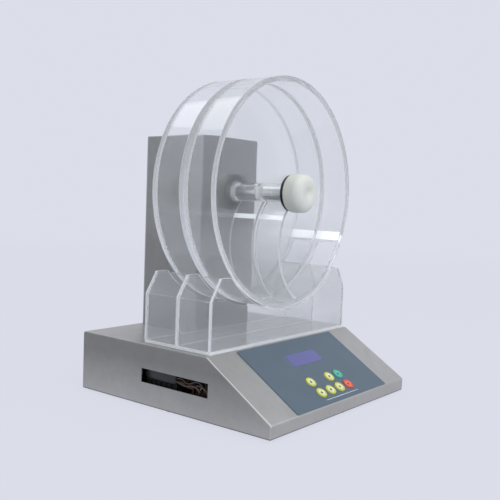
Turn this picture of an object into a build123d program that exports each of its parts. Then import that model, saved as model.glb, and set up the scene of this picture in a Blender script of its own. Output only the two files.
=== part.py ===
from build123d import *
import math
import os

# The base: a folded sheet housing on a flat plate and four feet
base_width = 312.0
base_depth = 314.0
base_rise = 76.0
lip_height = 16.2
slope_run = 96.0
sheet = 1.5
bend_radius = 3.0
edge_radius = 2.2
plate_thickness = 1.5
plate_inset = 0.8
flange_width = 9.0
foot_height = 3.0
foot_radius = 11.0
foot_inset = 30.0

# Screws that hold the panels
screw_radius = 1.45
screw_length = 6.0
screw_head_radius = 2.8
screw_head_height = 1.7
screw_clearance = 0.15
screw_sides = 6

# The slot in the left side
slot_front = 91.5
slot_length = 110.0
slot_height = 17.4
slot_rise = 28.3

# The tower that carries the spindle
tower_width = 110.0
tower_depth = 99.0
tower_head = 73.5
tower_back_margin = 7.5
tower_flange = 12.0
tower_passage = 70.0
tower_screw_rows = 2
vent_length = 46.0
vent_height = 3.0
vent_pitch = 8.0
vent_rows = 4
vent_drop = 24.0

# The spindle and what turns with it
drum_rise = 43.5
spindle_radius = 8.0
spindle_flat = 1.5
journal_radius = 7.5
stud_radius = 4.9
stud_length = 17.0
spindle_clearance = 0.05
passage_clearance = 2.0
tail_length = 3.0
flange_radius = 15.0
flange_length = 8.0

# The bushed block that the spindle turns in
block_width = 60.0
block_height = 50.0
block_length = 56.0
block_corner = 5.0
bush_relief = 1.5

# Gears, motor and the plate that carries it
gear_module = 1.5
gear_teeth = 48
pinion_teeth = 16
gear_face = 10.0
gear_gap = 4.5
gear_backlash = 0.25
addendum_share = 0.9
dedendum_share = 1.2
pressure_angle = 20.0
motor_plate_thickness = 2.5
motor_plate_width = 66.0
motor_plate_top = 55.0
motor_plate_drop = 98.0
gearbox_size = 60.0
gearbox_length = 25.0
gearbox_corner = 6.0
gearbox_offset = 14.0
motor_radius = 28.0
motor_length = 27.0
motor_shaft_radius = 4.0
motor_boss_radius = 7.0

# The two drums
drum_bore_radius = 143.5
drum_wall = 6.0
drum_depth = 38.0
disc_wall = 5.5
cover_step = 1.5
cover_clearance = 0.3
drum_setoff = 9.5
hub_radius = 12.5
vane_radius = 80.5
vane_thickness = 4.5
vane_bite = 0.5
vane_bearing = -45.0
opening_start = -27.0
opening_end = -44.0
opening_margin = 3.0

# The knob that clamps the drums
washer_radius = 23.5
washer_thickness = 5.0
knob_radius = 25.0
knob_length = 24.7
knob_dome = 11.0
knob_dome_steps = 3
knob_heel = 1.5
knob_dimple_radius = 8.0
knob_dimple_depth = 2.2
knob_bore_depth = 20.0
stud_clearance = 0.1

# The collecting tray
tray_inset = 2.25
tray_depth = 110.0
tray_wall = 4.0
tray_setoff = 0.5
tray_shoulder = 62.5
tray_peak = 89.0
tray_chamfer = 16.3
tray_clearance = 3.2

# The control panel
overlay_width = 208.0
overlay_length = 110.2
overlay_shift = 1.0
overlay_margin = 0.8
overlay_thickness = 0.8
overlay_corner = 2.0
window_width = 66.0
window_length = 21.0
window_place = 77.0
window_shift = 1.0
window_fit = 0.15
key_radius = 7.5
key_clearance = 0.4
key_proud = 1.4
key_flange_width = 1.6
key_flange_thickness = 1.2
key_seat = 0.1
key_stem_width = 5.0
key_stem_length = 4.0
key_travel = 1.0
key_pitch = 20.9
key_row_pitch = 19.1
key_low_row = 18.9
key_first = -31.8
switch_size = 6.0
switch_height = 3.5
switch_margin = 0.3
board_thickness = 1.6
keypad_board_width = 104.0
keypad_board_length = 44.0
display_width = 80.0
display_length = 34.0
display_thickness = 7.0
display_seat = 0.3
spacer_radius = 2.6
spacer_inset = 4.0

# What stands on the base plate
supply_width = 44.0
supply_length = 52.0
supply_height = 48.0
supply_gap = 0.6
supply_fin = 2.4
supply_fins = 5
supply_fin_depth = 1.6
terminal_width = 16.0
terminal_length = 44.0
terminal_height = 21.0
terminal_step = 7.0
terminal_ways = 4
terminal_gap = 6.0
terminal_pocket = 4.0
terminal_pocket_depth = 2.0
wire_radius = 1.2
wire_rise = 8.0
wire_rise_step = 3.4
wire_bend = 4.5
wire_spacing = 3.6
wire_turns = 3
control_board_width = 124.0
control_board_length = 92.0
control_board_height = 10.0
control_board_side = 24.0
control_board_back = 16.0
heatsink_length = 50.0
heatsink_width = 14.0
heatsink_height = 24.0
heatsink_fin = 1.6
heatsink_fins = 4
heatsink_base = 4.0
chip_width = 12.0
chip_length = 30.0
chip_height = 4.0
relay_size = 18.0
relay_height = 15.0
part_margin = 8.0

# Mains inlet and rocker switch in the back wall
socket_rise = 35.5
inlet_setin = 52.0
inlet_width = 27.5
inlet_height = 20.0
inlet_body_depth = 20.0
inlet_flange_width = 48.0
inlet_flange_height = 23.0
inlet_flange_thickness = 2.2
inlet_corner = 4.0
inlet_recess_width = 24.0
inlet_recess_height = 16.5
inlet_recess_depth = 16.0
inlet_pin_width = 2.0
inlet_pin_height = 4.0
inlet_pin_length = 10.0
inlet_pin_spread = 7.0
inlet_pin_lift = 2.0
switch_pitch = 68.0
switch_body_width = 13.0
switch_body_height = 19.4
switch_body_depth = 15.0
switch_flange_width = 15.5
switch_flange_height = 22.5
switch_flange_thickness = 2.0
rocker_width = 10.4
rocker_height = 15.0
rocker_face = 2.6
rocker_valley = 1.0
rocker_root = 2.4
rocker_sink = 1.2
rocker_pin_radius = 0.7
rocker_pin_length = 1.2
rocker_tilt = 12.0
rocker_clearance = 0.3
wall_fit = 0.2

# One overrun for every cut that has to break through
overrun = 4.0

# Places worked out from the sizes above
rocker_lean = math.radians(rocker_tilt)
rocker_reach = rocker_face * math.cos(rocker_lean) + rocker_height / 2 * math.sin(rocker_lean)
overall_depth = base_depth + switch_flange_thickness - rocker_sink + rocker_reach
front_y = -overall_depth / 2
rear_y = front_y + base_depth
side_x = base_width / 2
plate_z = foot_height
housing_z = plate_z + plate_thickness
floor_z = housing_z
lip_z = plate_z + lip_height
top_z = plate_z + base_rise
drum_radius = drum_bore_radius + drum_wall
axis_z = top_z + drum_rise + drum_radius
slope_top_y = front_y + slope_run
slope_rise = top_z - lip_z
slope_angle = math.atan2(slope_rise, slope_run)
panel = Plane(
    origin=(0, front_y, lip_z),
    x_dir=(1, 0, 0),
    z_dir=(0, -math.sin(slope_angle), math.cos(slope_angle)),
)
tower_rear_y = rear_y - tower_back_margin
tower_front_y = tower_rear_y - tower_depth
tower_top_z = axis_z + tower_head
tower_rise = tower_top_z - top_z
drum_length = disc_wall + drum_depth + cover_step + disc_wall
rear_drum_y = tower_front_y - drum_setoff
front_drum_y = rear_drum_y - drum_length
stack_front_y = front_drum_y - drum_length
washer_front_y = stack_front_y - washer_thickness
knob_front_y = washer_front_y - knob_length
block_front_y = tower_front_y + sheet
block_rear_y = block_front_y + block_length
motor_plate_y = block_rear_y + motor_plate_thickness
gear_front_y = motor_plate_y + gear_gap
gear_rear_y = gear_front_y + gear_face
spindle_rear_y = gear_rear_y + tail_length
gear_pitch_radius = gear_module * gear_teeth / 2
pinion_pitch_radius = gear_module * pinion_teeth / 2
motor_axis_z = axis_z - gear_pitch_radius - pinion_pitch_radius
gearbox_z = motor_axis_z - gearbox_offset
tray_half = drum_radius - tray_inset
tray_rear_y = tower_front_y - tray_setoff
tray_front_y = tray_rear_y - tray_depth
tray_middle_y = (tray_front_y + tray_rear_y - tray_wall) / 2
vane_centre_distance = vane_radius + vane_thickness + hub_radius - vane_bite
panel_surface = overlay_thickness
screw_hole_radius = screw_radius + screw_clearance
screw_line = sheet + (flange_width - sheet) / 2
socket_z = plate_z + socket_rise
inlet_x = -side_x + inlet_setin
switch_x = inlet_x + switch_pitch
key_places = [
    ("key_left_upper", key_first, key_low_row + key_row_pitch),
    ("key_right_upper", key_first + 2 * key_pitch, key_low_row + key_row_pitch),
    ("key_left_lower", key_first, key_low_row),
    ("key_middle_lower", key_first + key_pitch, key_low_row),
    ("key_right_lower", key_first + 2 * key_pitch, key_low_row),
    ("start_key", key_first + 3 * key_pitch, key_low_row + key_row_pitch),
    ("stop_key", key_first + 3 * key_pitch, key_low_row),
]
keypad_centre_x = key_first + 3 * key_pitch / 2
keypad_centre_s = key_low_row + key_row_pitch / 2


# Shared ways of making a solid
def block(x0, x1, y0, y1, z0, z1):
    """A box between two corners."""
    middle = Pos((x0 + x1) / 2, (y0 + y1) / 2, (z0 + z1) / 2)
    return middle * Box(x1 - x0, y1 - y0, z1 - z0)


def upright(sketch, y0, y1):
    """A sketch drawn in X and Z, made solid from y0 back to y1."""
    return extrude(Plane.XZ.offset(-y0) * sketch, amount=y0 - y1)


def lengthways(sketch, x0, x1):
    """A sketch drawn in Y and Z, made solid from x0 to x1."""
    return extrude(Plane.YZ.offset(x0) * sketch, amount=x1 - x0)


def rod(radius, y0, y1, x=0, z=0):
    """A round bar along Y."""
    return upright(Pos(x, z) * Circle(radius), y0, y1)


def turned(points):
    """A body turned about the spindle axis, from (radius, y) corners."""
    return Pos(0, 0, axis_z) * revolve(make_face(Polyline(*points, close=True)), Axis.Y)


def post(radius, x, y, z0, z1):
    """A round bar along Z."""
    return Pos(x, y, (z0 + z1) / 2) * Cylinder(radius, z1 - z0)


def bored_flat(radius, flat):
    """The outline of the spindle: a circle with one flat on its upper side."""
    return Circle(radius) - Pos(0, 2 * radius - flat) * Rectangle(2 * radius, 2 * radius)


def hex_screw(place, radius, length, head_radius, head_height):
    """A six-sided screw with its head on a surface and its shank going in; place looks outwards."""
    head = extrude(RegularPolygon(head_radius, screw_sides), amount=head_height)
    shank = extrude(RegularPolygon(radius, screw_sides), amount=-length)
    return place * (head + shank)


def facing(x, y, z, direction):
    """A place on a surface that looks along direction."""
    side = (0, 1, 0) if direction[0] else (1, 0, 0)
    return Plane(origin=(x, y, z), x_dir=side, z_dir=direction)


# Where the panel screws go
def plate_screw_places():
    reach_x = side_x - screw_line
    ys = [front_y + screw_line, rear_y - screw_line]
    middle = (front_y + rear_y) / 2
    return [(0, y) for y in ys] + [(side * reach_x, middle) for side in (-1, 1)]


def tower_screw_places():
    reach_x = tower_width / 2 - sheet - tower_flange / 2
    low = top_z + tower_flange / 2 + sheet
    high = tower_top_z - tower_flange / 2 - sheet
    step = (high - low) / (tower_screw_rows - 1)
    return [(side * reach_x, low + row * step) for side in (-1, 1) for row in range(tower_screw_rows)]


def foot_places():
    xs = [-side_x + foot_inset, side_x - foot_inset]
    return [(x, y) for x in xs for y in (front_y + foot_inset, rear_y - foot_inset)]


# The base
def base_outline():
    corners = [
        (front_y, housing_z),
        (front_y, lip_z),
        (slope_top_y, top_z),
        (rear_y, top_z),
        (rear_y, housing_z),
    ]
    face = make_face(Polyline(*corners, close=True))
    folds = [corner for corner in face.vertices() if corner.Y > housing_z + sheet]
    return fillet(folds, bend_radius)


def display_cut(depth, fit):
    """The display's opening through the panel, fit wider all round than the window."""
    outline = Rectangle(window_width + 2 * fit, window_length + 2 * fit)
    place = panel * Pos(window_shift, window_place, panel_surface + overrun)
    return place * extrude(outline, amount=-depth - overrun)


def key_cut(x, s, depth):
    place = panel * Pos(x, s, panel_surface + overrun)
    return place * extrude(Circle(key_radius + key_clearance), amount=-depth - overrun)


def back_cuts():
    """The openings in the back wall for the inlet and the switch."""
    inlet = Pos(inlet_x, socket_z) * Rectangle(inlet_width + 2 * wall_fit, inlet_height + 2 * wall_fit)
    switch = Pos(switch_x, socket_z) * Rectangle(
        switch_body_width + 2 * wall_fit, switch_body_height + 2 * wall_fit
    )
    return upright(inlet + switch, rear_y - sheet - overrun, rear_y + overrun)


def back_vents():
    row = [
        Pos(side_x / 2, socket_z + (index - (vent_rows - 1) / 2) * vent_pitch)
        * Rectangle(vent_length, vent_height)
        for index in range(vent_rows)
    ]
    return upright(Sketch() + row, rear_y - sheet - overrun, rear_y + overrun)


def side_slot():
    middle_y = front_y + slot_front + slot_length / 2
    middle_z = plate_z + slot_rise + slot_height / 2
    outline = Pos(middle_y, middle_z) * Rectangle(slot_length, slot_height)
    return lengthways(outline, -side_x - overrun, -side_x + sheet + overrun)


def make_housing():
    outline = base_outline()
    shell = lengthways(outline, -side_x, side_x)
    sides = shell.faces().filter_by(Axis.X)
    rims = [edge for side in sides for edge in side.edges() if edge.center().Z > housing_z + sheet]
    shell = fillet(rims, edge_radius)
    hollow = offset(outline, amount=-sheet)
    shell -= lengthways(hollow, -side_x + sheet, side_x - sheet)
    shell -= block(
        -side_x + flange_width, side_x - flange_width,
        front_y + flange_width, rear_y - flange_width,
        housing_z - overrun, housing_z + sheet + overrun,
    )
    passage = tower_passage / 2
    middle_y = (tower_front_y + tower_rear_y) / 2
    shell -= block(-passage / 2, passage / 2, middle_y - passage / 2, middle_y + passage / 2,
                   top_z - sheet - overrun, top_z + overrun)
    depth = panel_surface + sheet + overrun
    cuts = [side_slot(), back_cuts(), back_vents(), display_cut(depth, window_fit)]
    cuts += [key_cut(x, s, depth) for name, x, s in key_places]
    cuts += [post(screw_hole_radius, x, y, housing_z - overrun, housing_z + sheet + overrun)
             for x, y in plate_screw_places()]
    return shell - cuts


def make_base_plate():
    plate = block(-side_x + plate_inset, side_x - plate_inset, front_y + plate_inset,
                  rear_y - plate_inset, plate_z, housing_z)
    cuts = [post(screw_hole_radius, x, y, plate_z - overrun, housing_z + overrun)
            for x, y in plate_screw_places()]
    vents = [
        Pos(0, (row - (vent_rows - 1) / 2) * 2 * vent_pitch) * Rectangle(vent_length, vent_height)
        for row in range(vent_rows)
    ]
    cuts.append(Pos(0, front_y + slope_run, plate_z - overrun)
                * extrude(Sketch() + vents, amount=plate_thickness + 2 * overrun))
    return plate - cuts


def make_feet():
    foot = Cylinder(foot_radius, foot_height, align=(Align.CENTER, Align.CENTER, Align.MIN))
    return [Pos(x, y, 0) * foot for x, y in foot_places()]


# The tower
def make_tower_shell():
    half = tower_width / 2
    rear = tower_rear_y - sheet
    shell = block(-half, half, tower_front_y, rear, top_z, tower_top_z)
    uprights = shell.edges().filter_by(Axis.Z).sort_by(Axis.Y)[:2]
    shell = fillet(uprights, bend_radius)
    crown = shell.faces().sort_by(Axis.Z)[-1].edges().sort_by(Axis.Y)[:-1]
    shell = fillet(crown, edge_radius)
    shell -= block(-half + sheet, half - sheet, tower_front_y + sheet, rear - sheet,
                   top_z + sheet, tower_top_z - sheet)
    rim = sheet + tower_flange
    shell -= block(-half + rim, half - rim, rear - sheet - overrun, rear + overrun,
                   top_z + rim, tower_top_z - rim)
    shell -= block(-half + rim, half - rim, tower_front_y + rim, rear - rim,
                   top_z - overrun, top_z + sheet + overrun)
    shell -= rod(spindle_radius + passage_clearance, tower_front_y - overrun,
                 tower_front_y + sheet + overrun, 0, axis_z)
    cuts = [rod(screw_hole_radius, rear - sheet - overrun, rear + overrun, x, z)
            for x, z in tower_screw_places()]
    return shell - cuts


def make_tower_cover():
    half = tower_width / 2
    outline = Pos(0, (top_z + tower_top_z) / 2) * RectangleRounded(
        tower_width, tower_rise, edge_radius
    )
    cover = upright(outline, tower_rear_y - sheet, tower_rear_y)
    cuts = [rod(screw_hole_radius, tower_rear_y - sheet - overrun, tower_rear_y + overrun, x, z)
            for x, z in tower_screw_places()]
    louvres = [
        Pos(0, edge + way * (vent_drop + row * vent_pitch)) * Rectangle(vent_length, vent_height)
        for edge, way in ((tower_top_z, -1), (top_z, 1))
        for row in range(vent_rows)
    ]
    cuts.append(upright(Sketch() + louvres, tower_rear_y - sheet - overrun, tower_rear_y + overrun))
    return cover - cuts


def make_cover_screws():
    """The panel screws: under the base plate and in the tower's back cover."""
    size = (screw_radius, screw_length, screw_head_radius, screw_head_height)
    under = [facing(x, y, plate_z, (0, 0, -1)) for x, y in plate_screw_places()]
    behind = [facing(x, tower_rear_y, z, (0, 1, 0)) for x, z in tower_screw_places()]
    return [hex_screw(place, *size) for place in under + behind]


# Bearings, gears and motor
def make_bearing_block():
    """The bushed block behind the tower's front."""
    outline = Pos(0, axis_z) * RectangleRounded(block_width, block_height, block_corner)
    body = upright(outline, block_front_y, block_rear_y)
    bore = journal_radius + spindle_clearance
    return body - rod(bore, block_front_y - overrun, block_rear_y + overrun, 0, axis_z)


def gear_outline(teeth, turn):
    """An involute gear with tooth number nought turned to the angle turn."""
    pitch = gear_module * teeth / 2
    base = pitch * math.cos(math.radians(pressure_angle))
    tip = pitch + gear_module * addendum_share
    root = pitch - gear_module * dedendum_share
    start = max(base, root)
    roll = math.tan(math.radians(pressure_angle)) - math.radians(pressure_angle)
    half = math.pi / (2 * teeth) - gear_backlash / (2 * pitch)
    flank = []
    for radius in (start, tip):
        lean = math.acos(base / radius)
        flank.append((radius, half + roll - math.tan(lean) + lean))
    if start > root:
        flank.insert(0, (root, flank[0][1]))
    side = [(radius, -angle) for radius, angle in flank] + flank[::-1]
    points = []
    for tooth in range(teeth):
        middle = turn + 2 * math.pi * tooth / teeth
        points += [(radius * math.cos(middle + angle), radius * math.sin(middle + angle))
                   for radius, angle in side]
    return make_face(Polyline(*points, close=True))


def make_spindle_gear():
    toothed = upright(Pos(0, axis_z) * gear_outline(gear_teeth, -math.pi / 2), gear_front_y, gear_rear_y)
    bore = journal_radius + spindle_clearance
    return toothed - rod(bore, gear_front_y - overrun, gear_rear_y + overrun, 0, axis_z)


def make_motor_pinion():
    """The pinion, cut in one with the motor's shaft."""
    gap_up = math.pi / 2 + math.pi / pinion_teeth
    outline = Pos(0, motor_axis_z) * gear_outline(pinion_teeth, gap_up)
    shaft = rod(motor_shaft_radius, block_rear_y - gearbox_length / 3, gear_front_y, 0, motor_axis_z)
    return upright(outline, gear_front_y, gear_rear_y) + shaft


def make_motor_plate():
    height = motor_plate_top + motor_plate_drop
    outline = Pos(0, axis_z + (motor_plate_top - motor_plate_drop) / 2) * RectangleRounded(
        motor_plate_width, height, block_corner
    )
    plate = upright(outline, block_rear_y, motor_plate_y)
    holes = [(journal_radius + bush_relief, axis_z), (motor_boss_radius + wall_fit, motor_axis_z)]
    for radius, z in holes:
        plate -= rod(radius, block_rear_y - overrun, motor_plate_y + overrun, 0, z)
    return plate


def make_gearmotor():
    outline = Pos(0, gearbox_z) * RectangleRounded(gearbox_size, gearbox_size, gearbox_corner)
    rear = block_rear_y
    front = rear - gearbox_length
    body = upright(outline, front, rear)
    body += rod(motor_radius, front - motor_length, front, 0, gearbox_z)
    body += rod(motor_boss_radius, rear, motor_plate_y, 0, motor_axis_z)
    return body - rod(motor_shaft_radius + spindle_clearance, rear - gearbox_length / 3,
                      motor_plate_y + overrun, 0, motor_axis_z)


# The spindle
def make_spindle():
    """The spindle with the flange that the rear drum is clamped against and the stud for the knob."""
    seat = upright(Pos(0, axis_z) * bored_flat(spindle_radius, spindle_flat), stack_front_y, rear_drum_y)
    flange = rod(flange_radius, rear_drum_y, rear_drum_y + flange_length, 0, axis_z)
    body = rod(spindle_radius, rear_drum_y, block_front_y, 0, axis_z)
    tail = rod(journal_radius, block_front_y, spindle_rear_y, 0, axis_z)
    stud = rod(stud_radius, stack_front_y - washer_thickness - stud_length, stack_front_y, 0, axis_z)
    return seat + flange + body + tail + stud


# The drums
def spindle_bore():
    return Pos(0, axis_z) * bored_flat(spindle_radius + spindle_clearance, spindle_flat)


def make_drum_shell(back_y):
    """The back disc, wall and central ring, welded into one open drum, with its discharge opening."""
    rear = back_y - disc_wall
    front = rear - drum_depth - cover_step
    shell = rod(drum_radius, front, back_y, 0, axis_z)
    shell -= rod(drum_bore_radius, front - overrun, rear, 0, axis_z)
    shell += rod(hub_radius, rear - drum_depth + cover_clearance, rear, 0, axis_z)
    reach = 2 * drum_radius
    start, end = math.radians(opening_start), math.radians(opening_end)
    wedge = make_face(Polyline(
        (0, 0), (reach * math.cos(start), reach * math.sin(start)),
        (reach * math.cos(end), reach * math.sin(end)), close=True,
    ))
    gate = upright(Pos(0, axis_z) * (wedge - Circle(drum_bore_radius - cover_step)),
                   front + opening_margin, rear - opening_margin)
    return shell - gate - upright(spindle_bore(), front - overrun, back_y + overrun)


def make_vane(back_y):
    """The curved vane from the central ring to the wall, which lifts the tablets once a turn."""
    rear = back_y - disc_wall
    front = rear - drum_depth + cover_clearance
    bearing = math.radians(vane_bearing)
    centre = Pos(vane_centre_distance * math.cos(bearing), vane_centre_distance * math.sin(bearing))
    strip = centre * (Circle(vane_radius + vane_thickness) - Circle(vane_radius))
    strip = strip & Circle(drum_bore_radius)
    strip -= Circle(hub_radius)
    reach = 2 * drum_radius
    keep = Rot(0, 0, vane_bearing) * Pos(0, -reach / 2) * Rectangle(reach, reach)
    return upright(Pos(0, axis_z) * (strip & keep), front, rear)


def make_cover(back_y):
    """The drum's removable front disc, located by a shallow step inside the ring."""
    rear = back_y - drum_length + disc_wall
    disc = rod(drum_radius, rear - disc_wall, rear, 0, axis_z)
    disc += rod(drum_bore_radius - cover_clearance, rear, rear + cover_step, 0, axis_z)
    return disc - upright(spindle_bore(), rear - disc_wall - overrun, rear + cover_step + overrun)


# The knob
def make_washer():
    washer = rod(washer_radius, washer_front_y, stack_front_y, 0, axis_z)
    washer -= rod(stud_radius + stud_clearance, washer_front_y - overrun, stack_front_y + overrun, 0, axis_z)
    return washer


def make_knob():
    """A domed knob with a dimpled face, tapped from behind for the spindle's stud."""
    heel, front = washer_front_y, knob_front_y
    quarter = math.pi / 2
    dome = [
        (knob_radius - knob_dome + knob_dome * math.sin(step * quarter / knob_dome_steps),
         front + knob_dome - knob_dome * math.cos(step * quarter / knob_dome_steps))
        for step in range(knob_dome_steps + 1)
    ]
    bore = stud_radius + stud_clearance
    return turned([
        (0, front + knob_dimple_depth), (knob_dimple_radius, front), *dome,
        (knob_radius, heel - knob_heel), (knob_radius - knob_heel, heel),
        (bore, heel), (bore, heel - knob_bore_depth), (0, heel - knob_bore_depth),
    ])


# The tray
def tray_outline():
    """One end of the tray, seen from the front, without the hollow for the drums."""
    inner = tray_half - tray_chamfer
    return [(-tray_half, top_z + tray_shoulder), (-inner, top_z + tray_peak), (inner, top_z + tray_peak),
            (tray_half, top_z + tray_shoulder)]


def make_tray_floor():
    floor = block(-tray_half, tray_half, tray_front_y, tray_rear_y, top_z, top_z + tray_wall)
    return chamfer(floor.edges().filter_by(Axis.Z), tray_wall / 4)


def make_tray_plate(front):
    base = top_z + tray_wall
    outline = make_face(Polyline((-tray_half, base), *tray_outline(), (tray_half, base), close=True))
    outline -= Pos(0, axis_z) * Circle(drum_radius + tray_clearance)
    return upright(outline, front, front + tray_wall)


def make_tray_walls():
    """The bent side walls, one on each side of both bays."""
    half = tray_half
    base = top_z + tray_wall
    shoulder = top_z + tray_shoulder
    peak = top_z + tray_peak
    lean = math.atan2(tray_chamfer, tray_peak - tray_shoulder)
    drop = tray_wall * math.tan(lean / 2)
    across = tray_wall / math.cos(lean)
    profile = [
        (half, base), (half, shoulder), (half - tray_chamfer, peak),
        (half - tray_chamfer - across, peak), (half - tray_wall, shoulder - drop), (half - tray_wall, base),
    ]
    walls = []
    for side in (-1, 1):
        outline = make_face(Polyline(*[(side * x, z) for x, z in profile], close=True))
        for front, rear in tray_bays():
            walls.append(upright(outline, front, rear))
    return walls


def tray_bays():
    return [(tray_front_y + tray_wall, tray_middle_y),
            (tray_middle_y + tray_wall, tray_rear_y - tray_wall)]


# The control panel
def make_overlay():
    middle = overlay_margin + overlay_length / 2
    outline = Pos(overlay_shift, middle) * RectangleRounded(overlay_width, overlay_length, overlay_corner)
    sheet_piece = panel * extrude(outline, amount=overlay_thickness)
    cuts = [display_cut(panel_surface + overrun, window_fit)]
    cuts += [key_cut(x, s, panel_surface + overrun) for name, x, s in key_places]
    return sheet_piece - cuts


def make_window():
    outline = Rectangle(window_width, window_length)
    place = panel * Pos(window_shift, window_place, panel_surface)
    return place * extrude(outline, amount=-overlay_thickness - sheet)


def make_key(x, s):
    """A cap through the panel, with a square flange behind it and a stem down to its switch."""
    top = panel_surface + key_proud
    under = -sheet - key_seat
    place = panel * Pos(x, s, 0)
    cap = extrude(Pos(0, 0, under) * Circle(key_radius), amount=top - under)
    side = 2 * (key_radius + key_flange_width)
    collar = extrude(Pos(0, 0, under) * Rectangle(side, side), amount=-key_flange_thickness)
    stem = Pos(0, 0, under - key_flange_thickness) * Rectangle(key_stem_width, key_stem_width)
    stem = extrude(stem, amount=-key_stem_length)
    return place * (cap + collar + stem)


def switch_top():
    """How far below the panel's underside the tops of the key switches lie."""
    return -sheet - key_seat - key_flange_thickness - key_stem_length - key_travel - switch_margin


def keypad_board_top():
    return switch_top() - switch_height


def make_keypad_board():
    top = keypad_board_top()
    outline = Pos(keypad_centre_x, keypad_centre_s) * Rectangle(keypad_board_width, keypad_board_length)
    board = panel * Pos(0, 0, top) * extrude(outline, amount=-board_thickness)
    switches = [
        panel * Pos(x, s, top + switch_height / 2) * Box(switch_size, switch_size, switch_height)
        for name, x, s in key_places
    ]
    return board + switches


def keypad_spacer_places():
    reach_x = keypad_board_width / 2 - spacer_inset
    reach_s = keypad_board_length / 2 - spacer_inset
    corners = [(x, s) for x in (-reach_x, reach_x) for s in (-reach_s, reach_s)]
    return [(keypad_centre_x + x, keypad_centre_s + s) for x, s in corners]


def display_board_top():
    return -sheet - display_seat - display_thickness


def display_spacer_places():
    reach_x = display_width / 2 - spacer_inset
    reach_s = display_length / 2 - spacer_inset
    return [(window_shift + x, window_place + s) for x in (-reach_x, reach_x) for s in (-reach_s, reach_s)]


def make_display_module():
    top = display_board_top()
    place = panel * Pos(window_shift, window_place, top)
    board = place * extrude(Rectangle(display_width, display_length), amount=-board_thickness)
    glass = Rectangle(window_width, window_length)
    return board + place * extrude(glass, amount=display_thickness)


def control_board_origin():
    """The left, front and lower corner of the control board."""
    left = side_x - control_board_side - control_board_width
    front = rear_y - control_board_back - control_board_length
    return left, front, floor_z + control_board_height


def control_spacer_places():
    left, front, low = control_board_origin()
    xs = (left + spacer_inset, left + control_board_width - spacer_inset)
    ys = (front + spacer_inset, front + control_board_length - spacer_inset)
    return [(x, y) for x in xs for y in ys]


def make_board_spacers():
    """Six-sided posts under the control board, and studs that hang the keypad and display boards."""
    outline = RegularPolygon(spacer_radius, screw_sides)
    spacers = [Pos(x, y, floor_z) * extrude(outline, amount=control_board_height)
               for x, y in control_spacer_places()]
    hung = [(x, s, keypad_board_top()) for x, s in keypad_spacer_places()]
    hung += [(x, s, display_board_top()) for x, s in display_spacer_places()]
    for x, s, low in hung:
        spacers.append(panel * Pos(x, s, -sheet) * extrude(outline, amount=low + sheet))
    return spacers


def make_control_board():
    left, front, low = control_board_origin()
    top = low + board_thickness
    rear = front + control_board_length
    right = left + control_board_width
    board = block(left, right, front, rear, low, top)
    margin = part_margin
    sink_rear = rear - margin
    pieces = [block(left + margin, left + margin + heatsink_length, sink_rear - heatsink_width, sink_rear,
                    top, top + heatsink_base)]
    step = (heatsink_width - heatsink_fin) / (heatsink_fins - 1)
    for fin in range(heatsink_fins):
        y = sink_rear - heatsink_width + fin * step
        pieces.append(block(left + margin, left + margin + heatsink_length, y, y + heatsink_fin,
                            top + heatsink_base, top + heatsink_height))
    pieces.append(block(left + margin, left + margin + chip_length, front + margin,
                        front + margin + chip_width, top, top + chip_height))
    pieces.append(block(right - margin - relay_size, right - margin, front + margin,
                        front + margin + relay_size, top, top + relay_height))
    return board + pieces


# What shows through the side slot
def supply_corner_y():
    return front_y + slot_front + slot_length - supply_length


def make_power_supply():
    left = -side_x + flange_width + supply_gap
    right = left + supply_width
    front = supply_corner_y()
    body = block(left, right, front, front + supply_length, floor_z, floor_z + supply_height)
    pitch = supply_length / (supply_fins + 1)
    for groove in range(supply_fins):
        y = front + (groove + 1) * pitch
        body -= block(left - overrun, left + supply_fin_depth, y - supply_fin / 2, y + supply_fin / 2,
                      floor_z + supply_fin, floor_z + supply_height + overrun)
    return body


def terminal_left():
    return -side_x + flange_width + supply_gap


def terminal_way_y(index):
    front = supply_corner_y() - terminal_gap - terminal_length
    return front + (index + 1) * terminal_length / (terminal_ways + 1)


def make_terminal_block():
    left = terminal_left()
    front = supply_corner_y() - terminal_gap - terminal_length
    rear = front + terminal_length
    half = terminal_height - terminal_step
    body = block(left, left + terminal_width, front, rear, floor_z, floor_z + half)
    body += block(left + terminal_width / 3, left + terminal_width, front, rear, floor_z + half,
                  floor_z + terminal_height)
    for index in range(terminal_ways):
        y = terminal_way_y(index)
        body -= block(left - overrun, left + terminal_width / 3,
                      y - terminal_pocket / 2, y + terminal_pocket / 2,
                      floor_z + half - terminal_pocket_depth, floor_z + half + overrun)
    return body


def make_wires():
    """One wire from each way of the terminal block up and back to the power supply."""
    left = terminal_left() + terminal_width * 2 / 3
    low = floor_z + terminal_height
    supply_front = supply_corner_y()
    wires = []
    for index in range(terminal_ways):
        x = left + (index - terminal_ways / 2) * wire_spacing / 2
        high = low + wire_rise + (terminal_ways - 1 - index) * wire_rise_step
        y = terminal_way_y(index)
        start = (x, y, low)
        turn = [(x, y + wire_bend * (1 - math.cos(step * math.pi / (2 * wire_turns))),
                 high - wire_bend * (1 - math.sin(step * math.pi / (2 * wire_turns))))
                for step in range(wire_turns + 1)]
        path = Polyline(start, *turn, (x, supply_front, high))
        ring = Plane(origin=start, z_dir=(0, 0, 1)) * RegularPolygon(wire_radius, screw_sides)
        wires.append(sweep(ring, path=path, transition=Transition.RIGHT))
    return wires


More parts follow.
